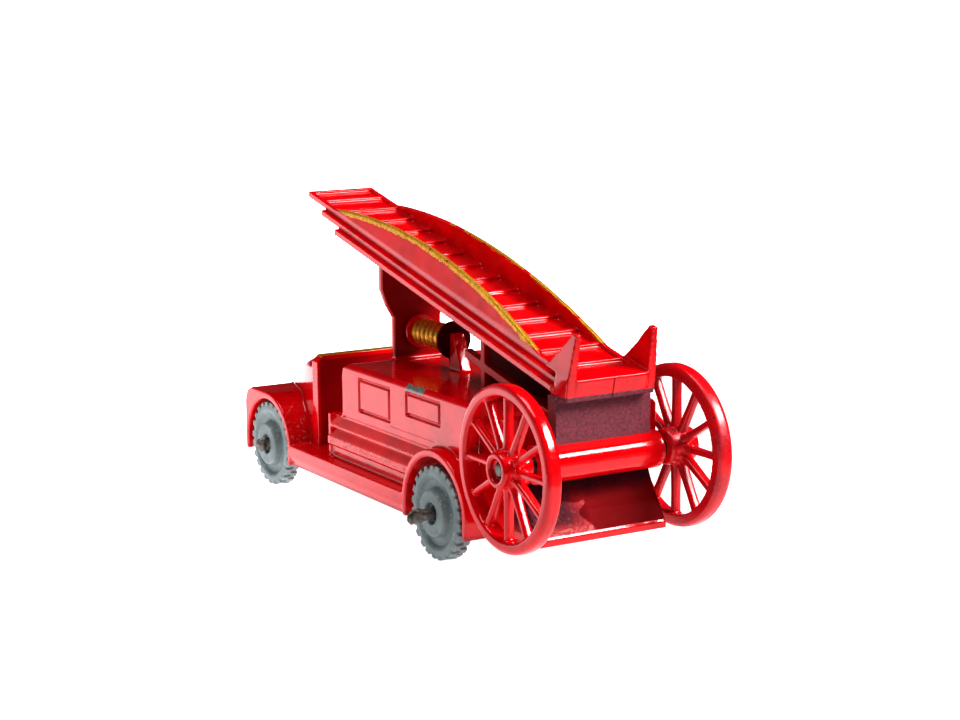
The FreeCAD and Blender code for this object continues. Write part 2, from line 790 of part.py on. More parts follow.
def make_escape_back_plate():
    plate = block("back_plate_mass", ("-plate_half_width", "plate_half_width"),
                  ("plate_front", "plate_rear"), ("escape_axle_z", "plate_top + 1"))
    tube = rod("back_plate_tube_space", ("-body_outer", "body_outer"), "escape_axle_y", "escape_axle_z",
               "tube_radius")
    spaces = fuse("back_plate_spaces", tube, ladder_envelope("back_plate_limit", "foot_drop"))
    as_subpart("escape_back_plate", cut("escape_back_plate", plate, spaces))


def make_escape_side_frame(side):
    """A beam under the ladder, parallel to it, with a post from the deck to the ladder."""
    name = SIDE_NAMES[side] + "_escape_frame"
    span = side_span(side, "frame_x", "frame_x + frame_width")
    fall = "(plate_front - frame_tip_y) * tan(ladder_incline)"
    beam = as_tool(prism_x(name + "_beam", span[0], "frame_width", [
        ("frame_tip_y", "frame_tip_z - frame_depth"),
        ("plate_front", "frame_tip_z - frame_depth - " + fall),
        ("plate_front", "frame_tip_z - " + fall),
        ("frame_tip_y", "frame_tip_z")]))
    post = block(name + "_post", span, ("frame_post_y", "frame_post_y + frame_width"),
                 ("deck_top", "frame_tip_z + 3"))
    deck = block(name + "_deck_space", ("-body_outer", "body_outer"), ("0", "locker_rear"),
                 ("0", "deck_top"))
    spaces = fuse(name + "_spaces", deck, ladder_envelope(name + "_limit", "3 * section_thickness"))
    as_subpart(name, cut(name, fuse(name + "_mass", beam, post), spaces))


def make_escape_keel():
    """An upright web on the middle plane between the deck and the ladder."""
    web = block("escape_keel_mass", ("-keel_half_width", "keel_half_width"), ("keel_front", "keel_rear"),
                ("deck_top", "frame_tip_z + 3"))
    above = ladder_envelope("escape_keel_limit", "3 * section_thickness")
    as_subpart("escape_keel", cut("escape_keel", web, above))


# ---- wheels and axles ----------------------------------------------------------------------------------

def make_axle(label, y, z, reach, crimped):
    """A steel rod; the road axles have their ends pressed flat so that the wheels stay on."""
    shaft = rod(label + "_rod", ("-(%s)" % reach, reach), y, z, "axle_radius")
    if not crimped:
        as_subpart(label, shaft)
        return
    pieces = [shaft]
    for side in (LEFT, RIGHT):
        span = side_span(side, "%s - crimp_length" % reach, reach)
        pieces.append(block("%s_%s_crimp" % (label, SIDE_NAMES[side]), span,
                            ("(%s) - crimp_half_depth" % y, "(%s) + crimp_half_depth" % y),
                            ("(%s) - crimp_half_height" % z, "(%s) + crimp_half_height" % z)))
    as_subpart(label, fuse(label, *pieces))


def make_road_wheel(side, end, axle_y):
    """A moulded wheel with two rows of tread knobs, a dished face and a proud boss with a wide mouth."""
    label = "%s_%s_wheel" % (SIDE_NAMES[side], end)
    body = new_body(label)
    profile = new_sketch(body, "XZ_Plane")
    inboard = "road_wheel_face - road_wheel_width"
    rim = "road_wheel_radius - tread_depth"
    outline(profile, [
        (inboard, "bore_radius"),
        (inboard, rim),
        ("road_wheel_face", rim),
        ("road_wheel_face", "road_wheel_dish_radius"),
        ("road_wheel_face - road_wheel_dish_depth", "road_wheel_dish_radius - road_wheel_dish_slope"),
        ("road_wheel_face - road_wheel_dish_depth", "road_wheel_boss_radius"),
        ("road_wheel_boss_face", "road_wheel_boss_radius"),
        ("road_wheel_boss_face", "road_wheel_mouth_radius"),
        ("road_wheel_boss_face - road_wheel_mouth_depth", "road_wheel_mouth_radius"),
        ("road_wheel_boss_face - road_wheel_mouth_depth", "bore_radius")])
    revolution(body, profile)
    middle = "road_wheel_face - road_wheel_width / 2"
    rows = [(inboard + " + tread_edge_gap", middle + " - tread_row_gap / 2"),
            (middle + " + tread_row_gap / 2", "road_wheel_face - tread_edge_gap")]
    for start, end_of_row in rows:
        knob = new_sketch(body, "XY_Plane", "road_wheel_radius - 2 * tread_depth")
        rectangle(knob, start, end_of_row, "-tread_knob_width / 2", "tread_knob_width / 2")
        first_knob = pad(body, knob, "2 * tread_depth")
        polar_pattern(body, first_knob, "tread_knob_count")
    wheel_place(body, side, axle_y, "road_axle_z")


def wheel_place(body, side, y, z):
    """Put a wheel on its axle; a right-hand wheel is turned to face outwards."""
    if side == LEFT:
        place(body, y=y, z=z)
    else:
        place(body, y=y, z=z, axis=Vector(0, 0, 1), angle="180")


def make_escape_wheel(side):
    """A tall wheel with a crowned rim, twelve spokes and a hub with a hollow outer end."""
    body = new_body(SIDE_NAMES[side] + "_escape_wheel")
    rim = new_sketch(body, "XZ_Plane")
    outline(rim, [
        ("escape_rim_inboard", "escape_rim_inner - escape_rim_taper"),
        ("escape_rim_inboard", "escape_tread_edge"),
        ("escape_rim_inboard + escape_rim_crown", "escape_wheel_radius"),
        ("escape_rim_inboard + escape_rim_width - escape_rim_crown", "escape_wheel_radius"),
        ("escape_rim_inboard + escape_rim_width", "escape_tread_edge - escape_rim_taper"),
        ("escape_rim_inboard + escape_rim_width", "escape_rim_inner + 2 * escape_rim_taper")])
    revolution(body, rim)
    hub = new_sketch(body, "XZ_Plane")
    outline(hub, [
        ("escape_hub_inboard", "bore_radius"),
        ("escape_hub_inboard", "escape_hub_radius - escape_hub_bevel"),
        ("escape_hub_inboard + escape_hub_round", "escape_hub_radius"),
        ("escape_hub_outboard - escape_hub_round", "escape_hub_radius"),
        ("escape_hub_outboard", "escape_hub_radius - escape_hub_bevel"),
        ("escape_hub_outboard", "escape_hub_recess_radius"),
        ("escape_hub_outboard - escape_hub_recess", "escape_hub_recess_radius"),
        ("escape_hub_outboard - escape_hub_recess", "bore_radius")])
    spoke_start = "escape_rim_inboard + (escape_rim_width - spoke_depth) / 2"
    spoke = new_sketch(body, "YZ_Plane", spoke_start)
    outline(spoke, [
        ("-spoke_width / 2", "escape_hub_radius - spoke_root"),
        ("spoke_width / 2", "escape_hub_radius - spoke_root"),
        ("spoke_tip_width / 2", "escape_rim_inner + escape_rim_taper"),
        ("-spoke_tip_width / 2", "escape_rim_inner + escape_rim_taper")])
    first_spoke = pad(body, spoke, "spoke_depth")
    polar_pattern(body, first_spoke, "spoke_count")
    revolution(body, hub)
    wheel_place(body, side, "escape_axle_y", "escape_axle_z")


# ---- ladder, in its own frame --------------------------------------------------------------------------

def make_ladder_section(label, order):
    """One of the three stacked sections; the lower ones are wider and start further back."""
    setback = "%d * section_setback" % order
    half_width = "top_half_width + %d * section_flare" % order
    body = new_body(label)
    plan = new_sketch(body, "XY_Plane", "-%d * section_thickness" % (order + 1))
    rectangle(plan, "-(%s)" % half_width, half_width, "ladder_tip + " + setback, "-foot_length")
    pad(body, plan, "section_thickness")
    if order == 0:
        bed = new_sketch(body, "XY_Plane")
        rectangle(bed, "-top_half_width + rail_width", "top_half_width - rail_width",
                  "ladder_tip + rail_width", "-foot_length")
        pocket(body, bed, "bed_depth")
        rung = new_sketch(body, "XY_Plane", "-bed_depth")
        rectangle(rung, "-top_half_width + rail_width", "top_half_width - rail_width",
                  "rung_first - rung_width / 2", "rung_first + rung_width / 2")
        first_rung = pad(body, rung, "bed_depth")
        linear_pattern(body, first_rung, "Y_Axis", "(rung_count - 1) * rung_spacing", "rung_count",
                       reverse=True)
    onto_ladder(body)


def make_ladder_truss(side):
    """A thin wall along one side of the ladder that leans inwards and ends in a long shallow arc."""
    name = SIDE_NAMES[side] + "_ladder_truss"
    wall = as_tool(prism_y(name + "_wall", "truss_rear", "truss_rear - truss_front", mirrored_to(side, [
        ("truss_outer - truss_thickness", "0"),
        ("truss_outer", "0"),
        ("truss_outer - truss_draft", "truss_rise"),
        ("truss_outer - truss_draft - truss_thickness", "truss_rise")])))
    half_chord = "(truss_rear - truss_front) / 2"
    arc_radius = "((%s) ^ 2 + truss_rise ^ 2) / (2 * truss_rise)" % half_chord
    arc = rod(name + "_arc", ("-truss_outer - 1", "truss_outer + 1"), "(truss_front + truss_rear) / 2",
              "truss_rise - (%s)" % arc_radius, arc_radius)
    truss = common(name, wall, arc)
    onto_ladder(truss)
    as_subpart(name, truss)


def make_ladder_foot():
    """The square block across the bottom of the three sections."""
    foot = prism_x("ladder_foot", "-horn_inner", "2 * horn_inner", [
        ("-foot_length", "-foot_drop"),
        ("foot_overhang", "-foot_drop"),
        ("foot_overhang", "0"),
        ("-foot_length", "0")])
    onto_ladder(foot)


def make_ladder_horn(side):
    """A three-cornered ear on one side of the foot, whose outer face leans inwards above the ladder."""
    name = SIDE_NAMES[side] + "_ladder_horn"
    outer = "horn_inner + horn_thickness"
    tip_rear = "foot_overhang - horn_tip_setback"
    low_x = side_span(side, "horn_inner", outer)[0]
    from_the_side = as_tool(prism_x(name + "_profile", low_x, "horn_thickness", [
        ("-foot_length", "-foot_drop"),
        ("foot_overhang", "-foot_drop"),
        (tip_rear, "horn_height"),
        (tip_rear + " - horn_tip_width", "horn_height"),
        ("-foot_length", "horn_waist"),
        ("horn_reach", "0"),
        ("-foot_length", "0")]))
    from_behind = as_tool(prism_y(name + "_draft", "foot_overhang + 1", "foot_overhang + 1 - horn_reach",
                                  mirrored_to(side, [("horn_inner", "-foot_drop"),
                                                     (outer, "-foot_drop"),
                                                     (outer, "0"),
                                                     (outer + " - horn_draft", "horn_height"),
                                                     ("horn_inner", "horn_height")])))
    horn = common(name, from_the_side, from_behind)
    onto_ladder(horn)
    as_subpart(name, horn)


make_cab_floor()
make_scuttle()
make_bonnet()
make_radiator_grille()
make_locker_body()
make_tail_apron()
make_gallows()
make_hose_reel()
make_hose()
make_reel_stand()
make_escape_axle_tube()
make_escape_back_plate()
make_escape_keel()
make_axle("front_axle", FRONT_AXLE_Y, "road_axle_z", "front_axle_reach", True)
make_axle("rear_axle", "rear_axle_y", "road_axle_z", "rear_axle_reach", True)
make_axle("escape_axle", "escape_axle_y", "escape_axle_z", "escape_axle_reach", False)
for side in (LEFT, RIGHT):
    make_running_board(side)
    make_wing(side, "front", "front_wing_inner", FRONT_AXLE_Y, "front_arch_y", "front_wing_radius",
              "front_arch_radius")
    make_wing(side, "rear", "wing_inner", "rear_axle_y", "rear_axle_y", "rear_wing_radius",
              "rear_arch_radius")
    make_headlamp(side)
    make_escape_side_frame(side)
    make_road_wheel(side, "front", FRONT_AXLE_Y)
    make_road_wheel(side, "rear", "rear_axle_y")
    make_escape_wheel(side)
    make_ladder_truss(side)
    make_ladder_horn(side)
for order, label in enumerate(("ladder_top_section", "ladder_middle_section", "ladder_main_section")):
    make_ladder_section(label, order)
make_ladder_foot()

doc.recompute()
for feature in doc.Objects:
    if "Invalid" in feature.State or "Error" in feature.State:
        raise RuntimeError("%s failed: %s" % (feature.Label, feature.State))
for subpart in subparts:
    if subpart.Shape.isNull() or not subpart.Shape.isValid():
        raise RuntimeError("%s has no valid shape" % subpart.Label)

os.makedirs("parts", exist_ok=True)
for subpart in subparts:
    subpart.Shape.exportStep("parts/%s.step" % subpart.Label)
    bounds = subpart.Shape.BoundBox
    print("%-24s %2d solids %8.2f mm3  X %6.2f %6.2f  Y %6.2f %6.2f  Z %6.2f %6.2f" % (
        subpart.Label, len(subpart.Shape.Solids), subpart.Shape.Volume,
        bounds.XMin, bounds.XMax, bounds.YMin, bounds.YMax, bounds.ZMin, bounds.ZMax))
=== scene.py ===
"""Looks of the toy fire engine: enamelled castings, moulded wheels, steel axles, studio and camera.

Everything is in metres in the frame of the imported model: +X to the engine's left, +Y to its rear, +Z up.
Lengths are written in millimetres times MM.
"""
import math
import random

import bmesh
import bpy
import numpy as np
from mathutils import Matrix, Vector


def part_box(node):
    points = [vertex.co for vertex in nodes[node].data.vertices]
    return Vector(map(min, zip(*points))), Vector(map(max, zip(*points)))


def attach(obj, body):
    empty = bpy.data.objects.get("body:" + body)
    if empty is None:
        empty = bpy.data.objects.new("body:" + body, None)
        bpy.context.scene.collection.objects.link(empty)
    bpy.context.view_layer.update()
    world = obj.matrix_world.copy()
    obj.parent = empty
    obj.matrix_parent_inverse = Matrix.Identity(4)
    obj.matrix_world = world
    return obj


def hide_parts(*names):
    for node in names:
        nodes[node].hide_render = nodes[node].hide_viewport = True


MM = 0.001
random.seed(7)

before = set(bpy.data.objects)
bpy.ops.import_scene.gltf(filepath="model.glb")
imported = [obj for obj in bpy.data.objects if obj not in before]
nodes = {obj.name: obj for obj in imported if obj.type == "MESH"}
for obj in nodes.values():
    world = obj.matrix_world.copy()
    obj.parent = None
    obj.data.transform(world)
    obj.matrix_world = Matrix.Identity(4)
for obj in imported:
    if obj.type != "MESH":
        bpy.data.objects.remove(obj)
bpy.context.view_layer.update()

ROOT = "castings"

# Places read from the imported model
FRONT_AXLE = (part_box("front_axle")[0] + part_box("front_axle")[1]) / 2
REAR_AXLE = (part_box("rear_axle")[0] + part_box("rear_axle")[1]) / 2
ESCAPE_AXLE = (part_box("escape_axle")[0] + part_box("escape_axle")[1]) / 2
DECK_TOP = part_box("locker_body")[1].z

# The slope of the ladder and the place of its foot
LADDER_SLOPE = math.radians(13.4)
LADDER_FOOT = Vector((0, 23.8 * MM, 17.68 * MM))


# Voxel sizes of the cast skins in millimetres, and how many times each skin is smoothed
CASTING_VOXEL = 0.10
ROAD_WHEEL_VOXEL = 0.075
ESCAPE_WHEEL_VOXEL = 0.085
SKIN_SMOOTHINGS = 2


# ---- mesh helpers --------------------------------------------------------------------------------------

def new_object(name, mesh):
    thing = bpy.data.objects.new(name, mesh)
    bpy.context.scene.collection.objects.link(thing)
    return thing


def from_bmesh(name, bm):
    bmesh.ops.recalc_face_normals(bm, faces=bm.faces)
    mesh = bpy.data.meshes.new(name)
    bm.to_mesh(mesh)
    bm.free()
    return new_object(name, mesh)


def lathe(name, profile, centre, segments=96):
    """Turn a closed (x, radius) outline in millimetres once round an axis along X."""
    bm = bmesh.new()
    rings = []
    for step in range(segments):
        angle = 2 * math.pi * step / segments
        ring = []
        for x, radius in profile:
            ring.append(bm.verts.new((x * MM, radius * MM * math.cos(angle), radius * MM * math.sin(angle))))
        rings.append(ring)
    count = len(profile)
    for step in range(segments):
        here, following = rings[step], rings[(step + 1) % segments]
        for index in range(count):
            after = (index + 1) % count
            bm.faces.new((here[index], here[after], following[after], following[index]))
    bmesh.ops.translate(bm, verts=bm.verts, vec=centre)
    return from_bmesh(name, bm)


def prism(name, outline, start, end):
    """A straight-sided block from an outline of (y, z) pairs, in millimetres, run along X."""
    bm = bmesh.new()
    low = [bm.verts.new(Vector((start, a, b)) * MM) for a, b in outline]
    high = [bm.verts.new(Vector((end, a, b)) * MM) for a, b in outline]
    bm.faces.new(low)
    bm.faces.new(list(reversed(high)))
    for index in range(len(outline)):
        after = (index + 1) % len(outline)
        bm.faces.new((low[index], high[index], high[after], low[after]))
    return from_bmesh(name, bm)


def cad_copy(name):
    """A copy of a CAD node's mesh to be cast into a bigger piece; the node itself is left alone."""
    return new_object(name + "_copy", nodes[name].data.copy())


def cast(name, things, voxel):
    """Fuse closed shapes into one continuous skin with soft edges, as metal that has flowed into a mould."""
    bpy.ops.object.select_all(action="DESELECT")
    for thing in things:
        thing.select_set(True)
    bpy.context.view_layer.objects.active = things[0]
    bpy.ops.object.join()
    joined = things[0]
    joined.name = name
    joined.data.materials.clear()
    remesh = joined.modifiers.new("skin", "REMESH")
    remesh.mode = "VOXEL"
    remesh.voxel_size = voxel * MM
    smooth = joined.modifiers.new("soften", "SMOOTH")
    smooth.factor = 0.5
    smooth.iterations = SKIN_SMOOTHINGS
    evaluated = joined.evaluated_get(bpy.context.evaluated_depsgraph_get())
    mesh = bpy.data.meshes.new_from_object(evaluated)
    mesh.name = name
    joined.modifiers.clear()
    joined.data = mesh
    for polygon in mesh.polygons:
        polygon.use_smooth = True
    return joined


def smooth_shade(thing):
    for polygon in thing.data.polygons:
        polygon.use_smooth = True
    return thing


# ---- materials -----------------------------------------------------------------------------------------

def smooth_step(tree, value, low, high, first, last):
    """A node that turns low to high into first to last, easing in and out."""
    node = tree.nodes.new("ShaderNodeMapRange")
    node.interpolation_type = "SMOOTHSTEP"
    node.inputs["From Min"].default_value = low
    node.inputs["From Max"].default_value = high
    node.inputs["To Min"].default_value = first
    node.inputs["To Max"].default_value = last
    tree.links.new(value, node.inputs["Value"])
    return node.outputs[0]


def product(tree, first, second):
    """A node that multiplies two values and doesn't clamp the result."""
    node = tree.nodes.new("ShaderNodeMath")
    node.operation = "MULTIPLY"
    tree.links.new(first, node.inputs[0])
    tree.links.new(second, node.inputs[1])
    return node.outputs[0]


class Nodes:
    """A short way to wire up a material."""

    def __init__(self, name):
        self.material = bpy.data.materials.new(name)
        self.material.use_nodes = True
        self.tree = self.material.node_tree
        self.tree.nodes.clear()
        self.out = self.tree.nodes.new("ShaderNodeOutputMaterial")
        self.shader = self.tree.nodes.new("ShaderNodeBsdfPrincipled")
        self.tree.links.new(self.shader.outputs[0], self.out.inputs[0])
        self.coordinates = self.tree.nodes.new("ShaderNodeTexCoord")

    def link(self, source, target):
        self.tree.links.new(source, target)

    def noise(self, per_mm, detail=3.0, roughness=0.5):
        node = self.tree.nodes.new("ShaderNodeTexNoise")
        node.inputs["Scale"].default_value = per_mm / MM
        node.inputs["Detail"].default_value = detail
        node.inputs["Roughness"].default_value = roughness
        self.link(self.coordinates.outputs["Object"], node.inputs["Vector"])
        return node.outputs["Fac"]

    def ramp(self, value, low, high, first=0.0, last=1.0):
        return smooth_step(self.tree, value, low, high, first, last)

    def math(self, operation, first, second):
        node = self.tree.nodes.new("ShaderNodeMath")
        node.operation = operation
        node.use_clamp = operation in ("ADD", "MULTIPLY")
        for socket, value in zip(node.inputs, (first, second)):
            if hasattr(value, "node"):
                self.link(value, socket)
            else:
                socket.default_value = value
        return node.outputs[0]

    def mix(self, factor, first, second):
        node = self.tree.nodes.new("ShaderNodeMix")
        node.data_type = "RGBA"
        if hasattr(factor, "node"):
            self.link(factor, node.inputs["Factor"])
        else:
            node.inputs["Factor"].default_value = factor
        for socket, value in ((node.inputs[6], first), (node.inputs[7], second)):
            if hasattr(value, "node"):
                self.link(value, socket)
            else:
                socket.default_value = (*value, 1.0)
        return node.outputs[2]

    def bump(self, height, distance_mm, strength=1.0, under=None):
        node = self.tree.nodes.new("ShaderNodeBump")
        node.inputs["Distance"].default_value = distance_mm * MM
        node.inputs["Strength"].default_value = strength
        self.link(height, node.inputs["Height"])
        if under is not None:
            self.link(under, node.inputs["Normal"])
        return node.outputs[0]

    def edges(self, low, high):
        """1 on outward edges of a fine mesh, 0 elsewhere."""
        geometry = self.tree.nodes.new("ShaderNodeNewGeometry")
        return self.ramp(geometry.outputs["Pointiness"], low, high)

    def attribute(self, name):
        node = self.tree.nodes.new("ShaderNodeAttribute")
        node.attribute_name = name
        return node.outputs["Fac"]

    def set(self, **values):
        for name, value in values.items():
            socket = self.shader.inputs[name.replace("_", " ")]
            if hasattr(value, "node"):
                self.link(value, socket)
            elif isinstance(value, tuple):
                socket.default_value = (*value, 1.0)
            else:
                socket.default_value = value


def make_enamel():
    """Thick glossy red enamel. Masks on the mesh make it rough and darker (partly painted shade), speckled
    with pale painted glints over small pits, and near-black with painted shade where the casting is.
    """
    nodes_ = Nodes("red_enamel")
    waves = nodes_.noise(0.30, 2.0)
    fine = nodes_.noise(1.6, 4.0, 0.6)
    grain = nodes_.noise(3.2, 6.0, 0.8)
    specks = nodes_.noise(3.2, 3.0, 0.6)
    tone = nodes_.mix(nodes_.ramp(waves, 0.35, 0.7), (0.86, 0.0012, 0.008), (0.70, 0.0006, 0.006))
    pinholes = nodes_.ramp(nodes_.noise(2.4, 2.0, 0.5), 0.705, 0.72)
    worn_edges = nodes_.ramp(nodes_.noise(1.3, 5.0, 0.7), 0.62, 0.65)
    chips = nodes_.math("MULTIPLY", nodes_.edges(0.54, 0.56), worn_edges)
    chips = nodes_.math("ADD", chips, nodes_.math("MULTIPLY", pinholes, 0.55))
    rough_skin_and_shade = nodes_.attribute("rough_skin_and_shade")
    pits_and_glints = nodes_.attribute("pits_and_glints")
    painted_shade_and_seam = nodes_.attribute("painted_shade_and_seam")
    # Rough skin: duller, bumpier and darker; the darkening is partly the rough cast finish and partly painted
    # shade.
    dark = nodes_.mix(nodes_.ramp(grain, 0.30, 0.70), (0.10, 0.014, 0.03), (0.36, 0.05, 0.08))
    colour = nodes_.mix(rough_skin_and_shade, tone, dark)
    colour = nodes_.mix(chips, colour, (0.10, 0.012, 0.014))
    # Pale specks over the pits are painted glints: highlights broken up by rough paint, laid into the colour.
    painted_glints = nodes_.math("MULTIPLY", nodes_.ramp(specks, 0.58, 0.66), pits_and_glints)
    colour = nodes_.mix(painted_glints, colour, (0.5, 0.33, 0.3))
    # The shade mask paints near-black shade into recesses and rear faces that the lamps miss, and carries the
    # dark parting line of the escape; it also dulls the coat and reflections there.
    colour = nodes_.mix(painted_shade_and_seam, colour, (0.02, 0.002, 0.004))
    roughness = nodes_.ramp(fine, 0.3, 0.8, 0.07, 0.20)
    roughness = nodes_.math("ADD", roughness, nodes_.math("MULTIPLY", rough_skin_and_shade, 0.25))
    roughness = nodes_.math("ADD", roughness, nodes_.math("MULTIPLY", painted_shade_and_seam, 0.45))
    height = nodes_.bump(waves, 0.06, 0.6)
    height = nodes_.bump(fine, 0.012, 0.6, height)
    height = nodes_.bump(nodes_.math("MULTIPLY", grain, rough_skin_and_shade), 0.10, 1.0, height)
    pits = nodes_.math("MULTIPLY", nodes_.ramp(specks, 0.5, 0.68), pits_and_glints)
    height = nodes_.bump(pits, 0.05, 1.0, height)
    nodes_.set(Base_Color=colour, Roughness=roughness, Normal=height, IOR=1.5, Coat_Roughness=0.03,
               Coat_Weight=nodes_.ramp(painted_shade_and_seam, 0.0, 0.5, 0.25, 0.0),
               Specular_IOR_Level=nodes_.ramp(painted_shade_and_seam, 0.0, 0.7, 0.5, 0.03))
    return nodes_.material


def make_gold():
    """Brushed-on gold paint, broken up by the red under it."""
    nodes_ = Nodes("gold_paint")
    flake = nodes_.noise(4.5, 4.0, 0.7)
    patch = nodes_.noise(1.1, 3.0, 0.6)
    gold = nodes_.mix(nodes_.ramp(flake, 0.35, 0.65), (0.95, 0.55, 0.05), (0.50, 0.26, 0.02))
    colour = nodes_.mix(nodes_.ramp(patch, 0.62, 0.70), gold, (0.35, 0.02, 0.01))
    nodes_.set(Base_Color=colour, Metallic=0.55, Roughness=nodes_.ramp(flake, 0.3, 0.7, 0.25, 0.55),
               Normal=nodes_.bump(flake, 0.05, 0.8))
    return nodes_.material


def make_bare_metal():
    """Zinc alloy where the enamel is gone."""
    nodes_ = Nodes("bare_metal")
    grain = nodes_.noise(5.0, 4.0, 0.7)
    colour = nodes_.mix(nodes_.ramp(grain, 0.35, 0.65), (0.40, 0.40, 0.37), (0.20, 0.20, 0.18))
    nodes_.set(Base_Color=colour, Metallic=0.5, Roughness=0.5, Normal=nodes_.bump(grain, 0.03, 0.8))
    return nodes_.material


def make_wheel_plastic():
    """Dull blue-grey moulding with painted shade in its hollows and paler, rubbed edges."""
    nodes_ = Nodes("grey_plastic")
    cloud = nodes_.noise(0.5, 4.0, 0.6)
    grain = nodes_.noise(5.0, 3.0, 0.6)
    base = nodes_.mix(nodes_.ramp(cloud, 0.35, 0.65), (0.24, 0.295, 0.295), (0.31, 0.365, 0.36))
    rubbed = nodes_.mix(nodes_.math("MULTIPLY", nodes_.edges(0.52, 0.57), 0.5), base, (0.52, 0.58, 0.58))
    hollow = nodes_.tree.nodes.new("ShaderNodeNewGeometry").outputs["Pointiness"]
    # Painted shade: the hollows of the moulding, where pointiness is low, are darkened.
    colour = nodes_.mix(nodes_.ramp(hollow, 0.49, 0.42, 0.0, 0.75), rubbed, (0.08, 0.10, 0.105))
    nodes_.set(Base_Color=colour, Roughness=nodes_.ramp(grain, 0.3, 0.7, 0.45, 0.65),
               Normal=nodes_.bump(grain, 0.02, 0.5), IOR=1.48)
    return nodes_.material


def make_steel():
    """Darkened wire with rust and rubbed bright spots."""
    nodes_ = Nodes("steel")
    cloud = nodes_.noise(1.2, 5.0, 0.7)
    grain = nodes_.noise(6.0, 4.0, 0.6)
    rust = nodes_.mix(nodes_.ramp(cloud, 0.45, 0.62), (0.24, 0.23, 0.21), (0.10, 0.09, 0.07))
    colour = nodes_.mix(nodes_.math("MULTIPLY", nodes_.edges(0.53, 0.6), 0.5), rust, (0.60, 0.56, 0.50))
    nodes_.set(Base_Color=colour, Metallic=0.6, Roughness=nodes_.ramp(grain, 0.3, 0.7, 0.35, 0.6),
               Normal=nodes_.bump(grain, 0.04, 0.8))
    return nodes_.material


ENAMEL = make_enamel()
GOLD = make_gold()
BARE = make_bare_metal()
PLASTIC = make_wheel_plastic()
STEEL = make_steel()


def finish_piece(thing, body, material, replaced):
    """Put a finished piece on its body in place of the CAD nodes that it stands for."""
    if not thing.data.materials:
        thing.data.materials.append(material)
    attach(thing, body)
    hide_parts(*replaced)
    return thing


# ---- masks on the castings -----------------------------------------------------------------------------

def vertex_places(mesh):
    places = np.empty(len(mesh.vertices) * 3)
    mesh.vertices.foreach_get("co", places)
    return places.reshape(-1, 3) / MM


def ripple(places, size):
    """Smooth unevenness between -1 and 1 whose bumps are about size millimetres long."""
    x, y, z = (places / size).T
    return (np.sin(2.1 * x + 1.3 * np.sin(1.7 * y + 0.4)) + np.sin(1.9 * y + 1.1 * np.sin(2.3 * z + 1.0))
            + np.sin(2.3 * z + 1.2 * np.sin(1.3 * x + 2.0))) / 3


def add_mask(mesh, name, values):
    attribute = mesh.attributes.new(name, "FLOAT", "POINT")
    attribute.data.foreach_set("value", np.clip(values, 0, 1).astype(np.float32))


def face_table(mesh):
    count = len(mesh.polygons)
    centres = np.empty(count * 3)
    normals = np.empty(count * 3)
    mesh.polygons.foreach_get("center", centres)
    mesh.polygons.foreach_get("normal", normals)
    return centres.reshape(-1, 3) / MM, normals.reshape(-1, 3)


def paint_faces(mesh, chosen, index):
    current = np.empty(len(mesh.polygons), np.int32)
    mesh.polygons.foreach_get("material_index", current)
    current[chosen] = index
    mesh.polygons.foreach_set("material_index", current)


# Places of the paints in a casting's list of materials, after the enamel
GOLD_INDEX = 1
BARE_INDEX = 2


# ---- body casting --------------------------------------------------------------------------------------

BODY_NODES = ["left_running_board", "right_running_board", "cab_floor", "scuttle", "bonnet",
              "radiator_grille", "left_headlamp", "right_headlamp", "left_front_wing",
              "right_front_wing", "left_rear_wing", "right_rear_wing", "locker_body", "tail_apron",
              "gallows", "hose_reel", "reel_stand"]
ESCAPE_NODES = ["ladder_top_section", "ladder_middle_section", "ladder_main_section", "left_ladder_truss",
                "right_ladder_truss", "ladder_foot", "left_ladder_horn", "right_ladder_horn",
                "left_escape_frame", "right_escape_frame", "escape_keel", "escape_back_plate",
                "escape_axle_tube"]


